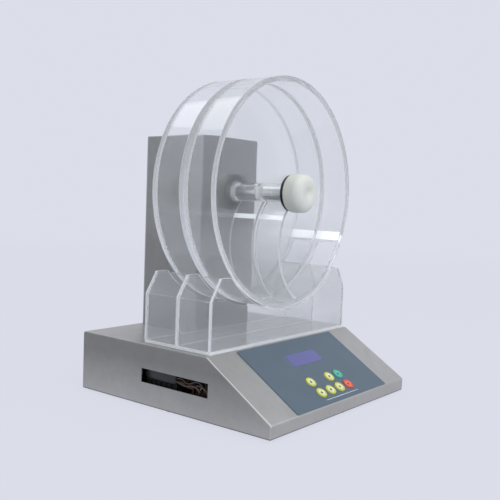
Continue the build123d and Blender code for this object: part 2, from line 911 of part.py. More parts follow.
# The fittings in the back wall
def make_inlet():
    flange = Pos(inlet_x, socket_z) * RectangleRounded(inlet_flange_width, inlet_flange_height, inlet_corner)
    ends = upright(flange, rear_y, rear_y + inlet_flange_thickness)
    shell = Pos(inlet_x, socket_z) * Rectangle(inlet_width, inlet_height)
    body = ends + upright(shell, rear_y - inlet_body_depth, rear_y)
    face = rear_y + inlet_flange_thickness
    recess = Pos(inlet_x, socket_z) * Rectangle(inlet_recess_width, inlet_recess_height)
    recess = chamfer(recess.vertices().sort_by(Axis.Y)[2:], inlet_corner)
    body -= upright(recess, face - inlet_recess_depth, face + overrun)
    low_pins = [(-inlet_pin_spread, -inlet_pin_lift), (inlet_pin_spread, -inlet_pin_lift)]
    for x, lift in [*low_pins, (0, inlet_pin_lift)]:
        blade = Pos(inlet_x + x, socket_z + lift) * Rectangle(inlet_pin_width, inlet_pin_height)
        body += upright(blade, face - inlet_recess_depth, face - inlet_recess_depth + inlet_pin_length)
    return body


def rocker_pivot_y():
    return rear_y + switch_flange_thickness - rocker_sink


def rocker_pins(grow):
    """The two pins that the rocker turns on, grown all round for their sockets."""
    reach = rocker_width / 2 + rocker_pin_length + grow
    outline = Pos(rocker_pivot_y(), socket_z) * Circle(rocker_pin_radius + grow)
    return lengthways(outline, switch_x - reach, switch_x + reach)


def make_switch_frame():
    flange = Pos(switch_x, socket_z) * RectangleRounded(
        switch_flange_width, switch_flange_height, edge_radius
    )
    face = rear_y + switch_flange_thickness
    body = upright(flange, rear_y, face)
    body += upright(Pos(switch_x, socket_z) * Rectangle(switch_body_width, switch_body_height),
                    rear_y - switch_body_depth, rear_y)
    swing = math.hypot(rocker_height / 2, rocker_face) + rocker_clearance
    pocket_half = rocker_width / 2 + rocker_clearance
    pocket = block(switch_x - pocket_half, switch_x + pocket_half, rocker_pivot_y() - swing,
                   face + overrun, socket_z - swing, socket_z + swing)
    return body - pocket - rocker_pins(spindle_clearance)


def make_power_rocker():
    """The rocker, standing in its off position, with a pin at each side."""
    half = rocker_height / 2
    corners = [(-rocker_root, -half), (rocker_face, -half), (rocker_valley, 0), (rocker_face, half),
               (-rocker_root, half)]
    outline = make_face(Polyline(*corners, close=True))
    outline = Pos(rocker_pivot_y(), socket_z) * Rot(0, 0, rocker_tilt) * outline
    rocker = lengthways(outline, switch_x - rocker_width / 2, switch_x + rocker_width / 2)
    return rocker + rocker_pins(0)


# Every piece under its own name
pieces = {
    "housing": make_housing(),
    "base_plate": make_base_plate(),
    "feet": make_feet(),
    "tower_shell": make_tower_shell(),
    "tower_back_cover": make_tower_cover(),
    "cover_screws": make_cover_screws(),
    "bearing_block": make_bearing_block(),
    "spindle_gear": make_spindle_gear(),
    "motor_pinion": make_motor_pinion(),
    "motor_plate": make_motor_plate(),
    "gearmotor": make_gearmotor(),
    "spindle": make_spindle(),
    "clamp_washer": make_washer(),
    "clamp_knob": make_knob(),
    "tray_floor": make_tray_floor(),
    "tray_walls": make_tray_walls(),
    "tray_front_plate": make_tray_plate(tray_front_y),
    "tray_middle_plate": make_tray_plate(tray_middle_y),
    "tray_rear_plate": make_tray_plate(tray_rear_y - tray_wall),
    "overlay": make_overlay(),
    "display_window": make_window(),
    "display_module": make_display_module(),
    "keypad_board": make_keypad_board(),
    "board_spacers": make_board_spacers(),
    "control_board": make_control_board(),
    "power_supply": make_power_supply(),
    "terminal_block": make_terminal_block(),
    "wires": make_wires(),
    "inlet": make_inlet(),
    "switch_frame": make_switch_frame(),
    "power_rocker": make_power_rocker(),
}
for drum, drum_back_y in (("rear", rear_drum_y), ("front", front_drum_y)):
    pieces[drum + "_drum_shell"] = make_drum_shell(drum_back_y)
    pieces[drum + "_drum_vane"] = make_vane(drum_back_y)
    pieces[drum + "_drum_cover"] = make_cover(drum_back_y)
for key_name, key_x, key_s in key_places:
    pieces[key_name] = make_key(key_x, key_s)

os.makedirs("parts", exist_ok=True)
for name, made in pieces.items():
    solids = made if isinstance(made, list) else [made]
    shape = solids[0] if len(solids) == 1 else Compound(children=solids)
    export_step(shape, "parts/" + name + ".step")
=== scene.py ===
import math

import bmesh
import bpy
from mathutils import Matrix, Vector


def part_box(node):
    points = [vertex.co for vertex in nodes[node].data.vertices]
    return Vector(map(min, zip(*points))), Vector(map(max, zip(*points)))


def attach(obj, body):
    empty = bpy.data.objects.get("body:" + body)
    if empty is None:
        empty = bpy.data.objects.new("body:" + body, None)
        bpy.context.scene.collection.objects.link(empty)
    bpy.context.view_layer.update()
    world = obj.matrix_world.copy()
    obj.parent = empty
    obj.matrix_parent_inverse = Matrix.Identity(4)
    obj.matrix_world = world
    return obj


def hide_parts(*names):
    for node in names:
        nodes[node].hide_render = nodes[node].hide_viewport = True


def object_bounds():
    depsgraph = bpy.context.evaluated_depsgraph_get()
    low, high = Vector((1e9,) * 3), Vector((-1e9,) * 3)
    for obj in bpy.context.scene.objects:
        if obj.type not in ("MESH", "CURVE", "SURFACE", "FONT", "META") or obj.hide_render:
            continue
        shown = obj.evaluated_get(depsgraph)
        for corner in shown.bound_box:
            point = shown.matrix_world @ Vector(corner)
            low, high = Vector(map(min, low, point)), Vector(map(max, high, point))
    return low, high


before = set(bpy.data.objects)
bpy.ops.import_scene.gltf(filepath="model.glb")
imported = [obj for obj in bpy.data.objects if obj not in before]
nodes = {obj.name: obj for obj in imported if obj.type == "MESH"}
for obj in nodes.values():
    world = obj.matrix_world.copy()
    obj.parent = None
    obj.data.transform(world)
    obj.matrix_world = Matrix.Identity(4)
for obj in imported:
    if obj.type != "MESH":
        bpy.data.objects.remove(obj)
cad_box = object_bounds()
scene = bpy.context.scene

# The camera of the photograph, worked out from the drum's standard size
CAMERA_PLACE = Vector((-0.7892, cad_box[0][1] - 0.4584, 0.2624))
CAMERA_TARGET = Vector((0.0390, cad_box[0][1] + 0.1901, 0.1901))
CAMERA_ROLL = math.radians(2.14)
CAMERA_LENS = 53.24
CAMERA_NEAR = 0.01
SENSOR = 36.0

# Places and sizes of the part, in metres
AXIS_X = 0.0
AXIS_Z = sum(corner[2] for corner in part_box("front_drum_cover")) / 2
FRONT_Y = cad_box[0][1]
LIP_Z = 0.0192
PANEL_TILT = math.atan2(0.0598, 0.096)
PANEL = Matrix.Translation((0, FRONT_Y, LIP_Z)) @ Matrix.Rotation(PANEL_TILT, 4, "X")
OVERLAY_TOP = 0.0008
DRUM_RADIUS = 0.1495
DRUM_BORE = 0.1435
DISC_WALL = 0.0055

# Pale tones, as the photograph shows them
BACKDROP = (0.715, 0.730, 0.822)
FLOOR_SHARE = 0.84

# Most of a noise's values lie between these
NOISE_RANGE = (0.3, 0.7)


# Building materials from nodes
class Tree:
    """A node tree, with short calls for the nodes that are used here."""

    def __init__(self, tree):
        self.tree = tree

    def add(self, kind, **settings):
        made = self.tree.nodes.new(kind)
        for key, value in settings.items():
            setattr(made, key, value)
        return made

    def link(self, source, target):
        self.tree.links.new(source, target)

    def put(self, value, socket):
        """Links an output to a socket, or sets a number or colour on it."""
        if isinstance(value, bpy.types.NodeSocket):
            self.link(value, socket)
        elif isinstance(value, tuple):
            socket.default_value = (*value, 1.0)[:4]
        else:
            socket.default_value = value

    def fill(self, node, *values):
        """Puts values on a node's first sockets, and gives its first output."""
        for value, socket in zip(values, node.inputs):
            self.put(value, socket)
        return node.outputs[0]

    def coordinates(self, stretch=(1, 1, 1)):
        """Coordinates that stay with the piece when its body moves."""
        mapping = self.add("ShaderNodeMapping")
        mapping.inputs["Scale"].default_value = stretch
        self.link(self.add("ShaderNodeTexCoord").outputs["Object"], mapping.inputs["Vector"])
        return mapping.outputs["Vector"]

    def split(self, vector):
        """A vector's three parts, by the names of their axes."""
        parts = self.add("ShaderNodeSeparateXYZ")
        self.link(vector, parts.inputs[0])
        return parts.outputs

    def place(self):
        return self.split(self.coordinates())

    def normal(self):
        return self.split(self.add("ShaderNodeTexCoord").outputs["Normal"])

    def noise(self, scale, detail, stretch=(1, 1, 1)):
        noise = self.add("ShaderNodeTexNoise")
        noise.inputs["Scale"].default_value = scale
        noise.inputs["Detail"].default_value = detail
        noise.inputs["Roughness"].default_value = 0.55
        self.link(self.coordinates(stretch), noise.inputs["Vector"])
        return noise.outputs["Fac"]

    def spread(self, source, low, high, to_low=0.0, to_high=1.0):
        """source carried from one range to another, and held inside it."""
        return self.fill(self.add("ShaderNodeMapRange"), source, low, high, to_low, to_high)

    def blend(self, share, first, second):
        """A colour between first and second."""
        node = self.add("ShaderNodeMix", data_type="RGBA")
        for index, value in ((0, share), (6, first), (7, second)):
            self.put(value, node.inputs[index])
        return node.outputs[2]

    def calc(self, operation, *values):
        return self.fill(self.add("ShaderNodeMath", operation=operation), *values)

    def shade(self, kind, colour):
        """A simple shader of one colour."""
        return self.fill(self.add("ShaderNode" + kind), colour)

    def mixed(self, share, first, second):
        """A shader between first and second."""
        return self.fill(self.add("ShaderNodeMixShader"), share, first, second)

    def seen(self):
        """One on rays that show a surface: straight, by reflection or through glass."""
        rays = self.add("ShaderNodeLightPath").outputs
        bent = self.calc("MAXIMUM", rays["Is Glossy Ray"], rays["Is Transmission Ray"])
        return self.calc("MAXIMUM", rays["Is Camera Ray"], bent)


class Recipe(Tree):
    """A Principled material, with short calls for what feeds it."""

    def __init__(self, name, **constants):
        self.material = bpy.data.materials.new(name)
        self.material.use_nodes = True
        super().__init__(self.material.node_tree)
        self.shader = self.tree.nodes["Principled BSDF"]
        for socket, value in constants.items():
            self.feed(value, socket.replace("_", " "))

    def feed(self, value, socket):
        self.put(value, self.shader.inputs[socket])

    def roughen(self, source, roughness, shares, limits=NOISE_RANGE):
        """Roughness that follows source, between two shares of a value."""
        self.feed(self.spread(source, *limits, *(roughness * share for share in shares)), "Roughness")

    def bump(self, height, distance):
        node = self.add("ShaderNodeBump")
        node.inputs["Distance"].default_value = distance
        self.link(height, node.inputs["Height"])
        self.feed(node.outputs["Normal"], "Normal")

    def surface(self, shader):
        """Puts a shader in place of the plain Principled one."""
        self.link(shader, self.tree.nodes["Material Output"].inputs["Surface"])


def times(colour, share):
    """A colour made darker or paler."""
    return tuple(min(1.0, part * share) for part in colour)


# Masks: where on a piece something holds
LOOKS_ALONG, LOOKS_ASIDE = 0.7, 0.5     # how far a normal leans to an axis
RIM_SLACK = 0.0008
BACK_SLACK = 0.0006
BORE_SLACK = 0.0005
WALL_START = 0.0004


def facing_away(made, axis):
    """One on faces that don't look along axis."""
    return made.spread(made.calc("ABSOLUTE", made.normal()[axis]), LOOKS_ALONG, LOOKS_ASIDE)


def facing_front(made):
    """One on faces that look forwards or backwards."""
    return made.calc("SUBTRACT", 1.0, facing_away(made, "Y"))


def from_axis(made):
    """How far a point lies to the right of the spindle's axis and above it."""
    place = made.place()
    return place["X"], made.calc("SUBTRACT", place["Z"], AXIS_Z)


def dot(made, first, second):
    """The dot product of two flat vectors."""
    products = [made.calc("MULTIPLY", one, other) for one, other in zip(first, second)]
    return made.calc("ADD", *products)


def far_from_axis(made, radius):
    """One on what lies further than radius from the spindle's axis."""
    arm = from_axis(made)
    return made.calc("GREATER_THAN", made.calc("POWER", dot(made, arm, arm), 0.5), radius)


def cover_edges(made):
    """The rim of a drum's disc."""
    return made.calc("MULTIPLY", facing_away(made, "Y"), far_from_axis(made, DRUM_RADIUS - RIM_SLACK))


def opening_sides(made):
    """The cut faces of the discharge opening: inside the wall, but not looking in or out along a radius."""
    normal = made.normal()
    along = dot(made, from_axis(made), (normal["X"], normal["Z"]))
    sideways = made.calc("LESS_THAN", made.calc("ABSOLUTE", along), DRUM_BORE / 2)
    upright = made.calc("LESS_THAN", made.calc("ABSOLUTE", normal["Y"]), LOOKS_ASIDE)
    cut = made.calc("MULTIPLY", sideways, upright)
    return made.calc("MULTIPLY", cut, far_from_axis(made, DRUM_BORE + WALL_START))


def shell_edges(back_y):
    """The back disc's rim and cemented margin, and the sides of the discharge opening."""
    def mask(made):
        depth = made.place()["Y"]
        rim = made.calc("MULTIPLY", cover_edges(made), made.calc("GREATER_THAN", depth, back_y - DISC_WALL))
        margin = made.calc("MULTIPLY", far_from_axis(made, DRUM_BORE - BORE_SLACK),
                           made.calc("GREATER_THAN", depth, back_y - BACK_SLACK))
        both = made.calc("ADD", rim, margin)
        return made.calc("MINIMUM", made.calc("ADD", both, opening_sides(made)), 1.0)
    return mask


# Kinds of material
LINE_SHADE, PATCH_TINT, BLOTCH_SHADE = 0.84, 1.16, 0.78
PATCH_SHARE, BLOTCH_SHARE = 0.55, 0.35


def brushed_metal(name, colour, roughness, grain, heights=(0.0, 0.1), **painted_light_shares):
    """Sheet steel with fine lines one way and a little unevenness.

    painted_light_shares paints light and shade into the colour: for faces that look along an axis, the share of
    light low down and high up.
    """
    made = Recipe(name, Metallic=0.85, Anisotropic=0.3, Specular_IOR_Level=0.5)
    lines = made.noise(900, 3, grain)
    patches = made.noise(9, 3)
    blotches = made.noise(70, 4)
    tone = made.blend(made.spread(lines, *NOISE_RANGE), times(colour, LINE_SHADE), colour)
    tone = made.blend(made.spread(patches, 0.35, 0.75, 0.0, PATCH_SHARE), tone, times(colour, PATCH_TINT))
    tone = made.blend(made.spread(blotches, 0.4, 0.7, 0.0, BLOTCH_SHARE), tone, times(colour, BLOTCH_SHADE))
    # Painted light and shade: faces that look along an axis made lighter or darker, blended from low down to high up
    height = made.place()["Z"]
    for axis, shares in painted_light_shares.items():
        low, high = ((share, share, share) for share in shares)
        painted_light = made.blend(made.spread(height, *heights), low, high)
        painted_light = made.blend(facing_away(made, axis), painted_light, (1.0, 1.0, 1.0))
        tone = made.fill(made.add("ShaderNodeVectorMath", operation="MULTIPLY"), tone, painted_light)
    made.feed(tone, "Base Color")
    made.roughen(lines, roughness, (0.85, 1.2), (0.25, 0.75))
    made.bump(lines, 0.00004)
    return made.material


def turned_metal(name, colour, roughness, metallic=1.0):
    """Round steel with the fine rings that a lathe leaves."""
    made = Recipe(name, Metallic=metallic)
    rings = made.noise(60, 2, (0.2, 40, 0.2))
    made.feed(made.blend(rings, times(colour, 0.85), colour), "Base Color")
    made.roughen(rings, roughness, (0.8, 1.3))
    made.bump(rings, 0.00003)
    return made.material


def moulded(name, colour, roughness, texture=1200.0, depth=0.00003, **constants):
    """Moulded plastic with a fine skin and a faintly uneven colour."""
    made = Recipe(name, **constants)
    skin = made.noise(texture, 2)
    patches = made.noise(25, 2)
    made.feed(made.blend(made.spread(patches, *NOISE_RANGE), times(colour, 0.93), colour), "Base Color")
    made.roughen(skin, roughness, (0.85, 1.15))
    made.bump(skin, depth)
    return made.material


# Clear sheet: its haze, and its sawn edges, whose colour is painted light low down and painted shade high up
ACRYLIC_IOR = 1.49
THIN_HAZE = 0.009
HAZE_GREY = (0.53, 0.54, 0.56)
SHINE_THROUGH = 0.45
DRUM_DUSTY = (AXIS_Z - 0.03, AXIS_Z - 0.13)
SHADOW_TINT = (0.95, 0.96, 0.97)
EDGE_TINT = (0.97, 0.98, 1.0)
EDGE_ROUGHNESS = 0.55
EDGE_FROST = 0.82
EDGE_HEIGHTS = (AXIS_Z - 0.09, AXIS_Z + 0.06)
EDGE_PAINTED_LIT = (0.93, 0.95, 0.98)
EDGE_PAINTED_SHADE = (0.60, 0.615, 0.635)

# Light that runs along inside a sheet comes out at its edges after more reflections than a render follows
TRAPPED_DEPTH = 2.5
TRAPPED_LIGHT = (0.50, 0.51, 0.55)


def acrylic(name, tint, edge_mask=None, haze_share=THIN_HAZE, dust=0.0, dusty=DRUM_DUSTY):
    """Clear sheet, a little hazy and dusty low down, whose sawn edges are frosted where edge_mask gives one."""
    made = Recipe(name, Transmission_Weight=1.0, IOR=ACRYLIC_IOR)
    haze = made.noise(14, 3)
    scuffs = made.noise(260, 5, (1, 1, 0.25))
    height = made.place()["Z"]
    soft = made.calc("ADD", made.spread(haze, 0.4, 0.8, 0.015, 0.05), made.spread(scuffs, 0.62, 0.8, 0.0, 0.1))
    film = made.calc("ADD", made.spread(height, *dusty, 0.0, dust), haze_share)
    film = made.calc("MULTIPLY", film, made.spread(haze, *NOISE_RANGE, 0.7, 1.4))
    tone = HAZE_GREY
    if edge_mask:
        edge = edge_mask(made)
        tint = made.blend(edge, tint, EDGE_TINT)
        # Painted light and shade on the edges: paler low down, darker high up
        tone = made.blend(edge, tone, made.blend(made.spread(height, *EDGE_HEIGHTS), EDGE_PAINTED_LIT, EDGE_PAINTED_SHADE))
        soft = made.calc("MAXIMUM", soft, made.calc("MULTIPLY", edge, EDGE_ROUGHNESS))
        film = made.calc("ADD", made.calc("MULTIPLY", edge, EDGE_FROST), film)
    made.feed(tint, "Base Color")
    made.feed(soft, "Roughness")
    made.bump(scuffs, 0.00001)
    frost = made.mixed(SHINE_THROUGH, made.shade("BsdfDiffuse", tone), made.shade("BsdfTranslucent", tone))
    veiled = made.mixed(film, made.shader.outputs[0], frost)
    rays = made.add("ShaderNodeLightPath").outputs
    trapped = made.calc("GREATER_THAN", rays["Glossy Depth"], TRAPPED_DEPTH)
    lit = made.mixed(trapped, veiled, made.shade("Emission", TRAPPED_LIGHT))
    made.surface(made.mixed(rays["Is Shadow Ray"], lit, made.shade("BsdfTransparent", SHADOW_TINT)))
    return made.material


DISPLAY_TONE, DISPLAY_DARK, DISPLAY_PALE = (0.058, 0.062, 0.245), (0.038, 0.041, 0.18), (0.076, 0.078, 0.295)


def display_face(name):
    """A tinted window over a dot display that is switched on but blank."""
    made = Recipe(name, Roughness=0.12, Coat_Weight=0.6, Coat_Roughness=0.06, Emission_Strength=0.06)
    wave = made.add("ShaderNodeTexWave", wave_type="BANDS", bands_direction="X")
    wave.inputs["Scale"].default_value = 260
    made.link(made.coordinates(), wave.inputs["Vector"])
    tone = made.blend(made.spread(wave.outputs["Fac"], 0.4, 0.6, 0.0, 0.25), DISPLAY_TONE, DISPLAY_DARK)
    tone = made.blend(made.spread(made.noise(30, 1), *NOISE_RANGE, 0.0, 0.35), tone, DISPLAY_PALE)
    made.feed(tone, "Base Color")
    made.feed(tone, "Emission Color")
    return made.material


def circuit_board(name):
    """Green board with paler tracks."""
    made = Recipe(name, Roughness=0.35)
    tracks = made.add("ShaderNodeTexBrick")
    tracks.inputs["Scale"].default_value = 180
    made.link(made.coordinates(), tracks.inputs["Vector"])
    made.feed(made.blend(tracks.outputs["Fac"], (0.01, 0.12, 0.05), (0.03, 0.25, 0.1)), "Base Color")
    made.bump(tracks.outputs["Fac"], 0.00005)
    return made.material


# The part's materials
TOWER_TONE, TOWER_GRAIN = (0.40, 0.405, 0.39), (12, 12, 0.3)
# The X and Y shares are painted light and shade: the housing's sides lighter low down and darker high up, its front
# a little lighter; the tower's sides darker and its front much darker; the back cover darker
steel_side = brushed_metal("housing_steel", (0.415, 0.413, 0.395), 0.42, (0.25, 0.25, 18), (0.005, 0.06),
                           X=(1.10, 0.61), Y=(1.08, 1.08))
steel_tower = brushed_metal("tower_steel", TOWER_TONE, 0.42, TOWER_GRAIN, (0.20, 0.275),
                            X=(0.66, 0.76), Y=(0.30, 0.43))
steel_back = brushed_metal("tower_back_steel", TOWER_TONE, 0.42, TOWER_GRAIN, Y=(0.72, 0.72))
sheet_plain = brushed_metal("plate_steel", (0.22, 0.22, 0.23), 0.5, (8, 0.4, 8))
spindle_steel = turned_metal("spindle_steel", (0.80, 0.82, 0.84), 0.22, 0.85)
screw_steel = turned_metal("screw_steel", (0.6, 0.6, 0.62), 0.3)
rubber = moulded("foot_rubber", (0.02, 0.02, 0.02), 0.8)
black_plastic = moulded("black_plastic", (0.018, 0.018, 0.019), 0.45)
washer_black = moulded("washer_black", (0.012, 0.012, 0.013), 0.5)
knob_white = moulded("knob_white", (0.63, 0.655, 0.60), 0.32, 300, 0.00002, Subsurface_Weight=0.15,
                     Subsurface_Scale=0.002)
overlay_blue = moulded("overlay_blue", (0.064, 0.102, 0.137), 0.42, 1800, 0.00002, Coat_Weight=0.15)
print_white = moulded("print_white", (0.6, 0.64, 0.68), 0.45)
key_yellow = moulded("key_yellow", (0.52, 0.55, 0.08), 0.4)
key_pale = moulded("key_pale", (0.72, 0.74, 0.42), 0.4)
key_green = moulded("key_green", (0.05, 0.36, 0.26), 0.4)
key_green_centre = moulded("key_green_centre", (0.09, 0.45, 0.36), 0.4)
key_red = moulded("key_red", (0.62, 0.07, 0.03), 0.4)
key_red_centre = moulded("key_red_centre", (0.74, 0.16, 0.08), 0.4)
key_mark = moulded("key_mark", (0.02, 0.025, 0.02), 0.5)
gear_plastic = moulded("gear_plastic", (0.62, 0.6, 0.54), 0.45)
brass = turned_metal("gear_brass", (0.6, 0.42, 0.17), 0.3)
cast = moulded("cast_grey", (0.3, 0.3, 0.3), 0.5, Metallic=0.8)
supply_grey = moulded("supply_grey", (0.010, 0.010, 0.011), 0.42)
sleeve_grey = moulded("sleeve_grey", (0.013, 0.015, 0.017), 0.36)
wire_brown = moulded("wire_brown", (0.060, 0.038, 0.029), 0.48)
copper = turned_metal("copper", (0.75, 0.5, 0.36), 0.35)
board = circuit_board("board_green")
display = display_face("window_violet")
# Frosted strips that glow: painted highlights in the drums, one on the vane's bent sheet (the weld strip) and one
# over the discharge opening
frosted = {
    kind: moulded("frosted_" + kind, (0.92, 0.94, 0.97), 0.35, 500, 0.00003, Emission_Color=(0.92, 0.95, 1.0),
                  Emission_Strength=painted_glow)
    for kind, painted_glow in (("weld", 0.35), ("opening_highlight", 0.62))
}

TINT = (0.984, 0.991, 0.988)
TRAY_TINT = (0.972, 0.979, 0.976)
TRAY_DUSTY = (0.108, 0.080)
tray_sheet = acrylic("tray_acrylic_sheet", TRAY_TINT, lambda made: facing_away(made, "Y"), 0.045, 0.15, TRAY_DUSTY)
tray_floor_sheet = acrylic("tray_acrylic_floor", TINT, lambda made: facing_away(made, "Z"), 0.10)
tray_wall_sheet = acrylic("tray_acrylic_wall", TRAY_TINT, haze_share=0.12)
vane_sheet = acrylic("vane_acrylic", TINT, facing_front, 0.03)
cover_sheet = acrylic("drum_acrylic_cover", TINT, cover_edges, dust=0.12)
shell_sheets = {
    drum: acrylic("drum_acrylic_" + drum, TINT, shell_edges(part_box(drum + "_drum_shell")[1][1]), dust=0.13)
    for drum in ("rear", "front")
}

# Putting materials on what the CAD made, with softened edges where they show
SHEET_EDGE, WALL_EDGE, SHAFT_EDGE = 0.0004, 0.0003, 0.0008
CLEAR, CLEARER = 0.00004, 0.00008
SHARP_ANGLE = math.radians(35)


def dress(node, material, edge=0.0, shrink=0.0):
    """material on all of a node's slots; edge rounds its corners, shrink keeps it clear of what it touches."""
    piece = nodes[node]
    if not piece.material_slots:
        piece.data.materials.append(material)
    for each in piece.material_slots:
        each.material = material
    if edge or shrink:
        weld = piece.modifiers.new("weld", "WELD")
        weld.merge_threshold = 0.000002
    if shrink:
        draw_in = piece.modifiers.new("shrink", "DISPLACE")
        draw_in.strength = -shrink
        draw_in.mid_level = 0.0
    if edge:
        bevel = piece.modifiers.new("edge", "BEVEL")
        bevel.width = edge
        bevel.segments = 2
        bevel.limit_method = "ANGLE"
        bevel.angle_limit = SHARP_ANGLE
        bevel.use_clamp_overlap = True
    if edge or shrink:
        even = piece.modifiers.new("normals", "WEIGHTED_NORMAL")
        even.keep_sharp = True


PLAIN_LOOKS = (
    (steel_side, "housing"), (steel_tower, "tower_shell"), (steel_back, "tower_back_cover"),
    (sheet_plain, "base_plate motor_plate"), (rubber, "feet"), (screw_steel, "cover_screws board_spacers"),
    (cast, "bearing_block gearmotor"), (gear_plastic, "spindle_gear"), (brass, "motor_pinion"),
    (overlay_blue, "overlay"), (display, "display_window"), (board, "display_module keypad_board control_board"),
    (supply_grey, "power_supply"), (wire_brown, "wires"),
    (black_plastic, "terminal_block inlet switch_frame power_rocker"),
)
for material, names in PLAIN_LOOKS:
    for name in names.split():
        dress(name, material)
dress("spindle", spindle_steel, SHAFT_EDGE)
for name in ("tray_front_plate", "tray_middle_plate", "tray_rear_plate"):
    dress(name, tray_sheet, SHEET_EDGE, CLEAR)
dress("tray_floor", tray_floor_sheet, SHEET_EDGE, CLEAR)
dress("tray_walls", tray_wall_sheet, WALL_EDGE, CLEAR)
for drum in ("rear", "front"):
    dress(drum + "_drum_shell", shell_sheets[drum], SHEET_EDGE, CLEAR)
    dress(drum + "_drum_cover", cover_sheet, SHEET_EDGE, CLEARER)
    dress(drum + "_drum_vane", vane_sheet, shrink=CLEARER)


# Making extra pieces
def piece_from(name, mesh, body, materials):
    """A new object from a bmesh, riding on a CAD body."""
    data = bpy.data.meshes.new(name)
    bmesh.ops.recalc_face_normals(mesh, faces=mesh.faces)
    mesh.to_mesh(data)
    mesh.free()
    for face in data.polygons:
        face.use_smooth = True
    made = bpy.data.objects.new(name, data)
    scene.collection.objects.link(made)
    for material in materials:
        data.materials.append(material)
    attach(made, body)
    return made


def arc(centre, radius, start, end, steps):
    """Points on an arc, angles in degrees."""
    for step in range(steps + 1):
        angle = math.radians(start + (end - start) * step / steps)
        yield centre[0] + radius * math.cos(angle), centre[1] + radius * math.sin(angle)


def ring_of(mesh, place, radius, height, sides, lean=0.0):
    """A ring of points about the place's Z."""
    angles = [lean + 2 * math.pi * step / sides for step in range(sides)]
    return [mesh.verts.new(place @ Vector((radius * math.cos(angle), radius * math.sin(angle), height)))
            for angle in angles]


def joined(mesh, first, second):
    """Faces between two closed rings of as many points."""
    for step in range(len(first)):
        after = (step + 1) % len(first)
        mesh.faces.new([first[step], first[after], second[after], second[step]])


def closed(mesh, first, last):
    """Faces over the two ends of a row of rings."""
    mesh.faces.new(first[::-1])
    mesh.faces.new(last)


ON_AXIS = 1e-7


def revolved(profile, place, turns, bands=None):
    """A body of revolution: (radius, height) points turned about the place's Z; bands gives each ring's material."""
    mesh = bmesh.new()
    rings = [ring_of(mesh, place, radius, height, turns if radius > ON_AXIS else 1) for radius, height in profile]
    for index, (low, high) in enumerate(zip(rings, rings[1:])):
        for step in range(turns):
            after = (step + 1) % turns
            corners = [low[step % len(low)], low[after % len(low)], high[after % len(high)], high[step % len(high)]]
            unique = list(dict.fromkeys(corners))
            if len(unique) > 2:
                face = mesh.faces.new(unique)
                face.material_index = bands[index] if bands else 0
    return mesh


# Painted highlights in each drum: glowing frosted strips on the vane's bent sheet and over the discharge opening
VANE_CENTRE = (0.0686, -0.0686)
VANE_OUTSIDE = 0.085
HIGHLIGHT_STRIPS = {
    # The weld strip is a painted highlight on the vane's bent sheet
    "weld": (VANE_CENTRE, VANE_OUTSIDE, 152.5, 157.0, 1),
    "opening_highlight": ((0, 0), DRUM_BORE, -21.5, -26.6, -1),
}
STRIP_THICK, STRIP_SUNK, STRIP_STEPS = 0.0005, 0.00005, 6


def make_highlight_strip(drum, kind):
    centre, radius, start, end, way = HIGHLIGHT_STRIPS[kind]
    low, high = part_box(drum + "_drum_vane")
    outline = list(arc(centre, radius - way * STRIP_SUNK, start, end, STRIP_STEPS))
    outline += list(arc(centre, radius + way * STRIP_THICK, end, start, STRIP_STEPS))
    mesh = bmesh.new()
    near, far = ([mesh.verts.new((AXIS_X + x, y, AXIS_Z + z)) for x, z in outline] for y in (low[1], high[1]))
    joined(mesh, near, far)
    closed(mesh, near, far)
    piece_from(drum + "_" + kind + "_strip", mesh, drum + "_drum", [frosted[kind]])


# The knob and its washer
KNOB_TURNS = 96
STUD_RADIUS = 0.005
STUD_DEPTH = 0.004


def spindle_place(y):
    """A place on the spindle's axis whose Z looks forwards."""
    return Matrix.Translation((AXIS_X, y, AXIS_Z)) @ Matrix.Rotation(math.radians(90), 4, "X")


def make_knob():
    """A domed knob with rounded shoulders and a dimple in its face."""
    low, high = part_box("clamp_knob")
    radius = (high[0] - low[0]) / 2
    length = high[1] - low[1]
    heel, dome, dimple, depth = 0.0015, 0.011, 0.008, 0.0022
    hollow = (dimple ** 2 + depth ** 2) / (2 * depth)
    spread = math.degrees(math.asin(dimple / hollow))
    profile = [(STUD_RADIUS, STUD_DEPTH), (STUD_RADIUS, 0.0), (radius - heel, 0.0)]
    profile += list(arc((radius - heel, heel), heel, -90, 0, 6))[1:]
    profile += list(arc((radius - dome, length - dome), dome, 0, 88, 16))
    profile += list(arc((0, length - depth + hollow), hollow, -90 + spread, -90, 8))
    profile[-1] = (0.0, length - depth)
    mesh = revolved(profile, spindle_place(high[1]), KNOB_TURNS)
    knob = piece_from("knob_body", mesh, "knob", [knob_white])
    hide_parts("clamp_knob")


def make_washer():
    """A rubber washer with rounded edges."""
    low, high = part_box("clamp_washer")
    radius = (high[0] - low[0]) / 2
    thick = high[1] - low[1]
    round_off, steps = 0.0011, 5
    profile = [(STUD_RADIUS, 0.0)]
    profile += list(arc((radius - round_off, round_off), round_off, -90, 0, steps))
    profile += list(arc((radius - round_off, thick - round_off), round_off, 0, 90, steps))
    profile += [(STUD_RADIUS, thick), (STUD_RADIUS, 0.0)]
    mesh = revolved(profile, spindle_place(high[1]), KNOB_TURNS)
    washer = piece_from("washer_ring", mesh, "knob", [washer_black])
    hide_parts("clamp_washer")


for drum in ("rear", "front"):
    for kind in HIGHLIGHT_STRIPS:
        make_highlight_strip(drum, kind)
make_knob()
make_washer()


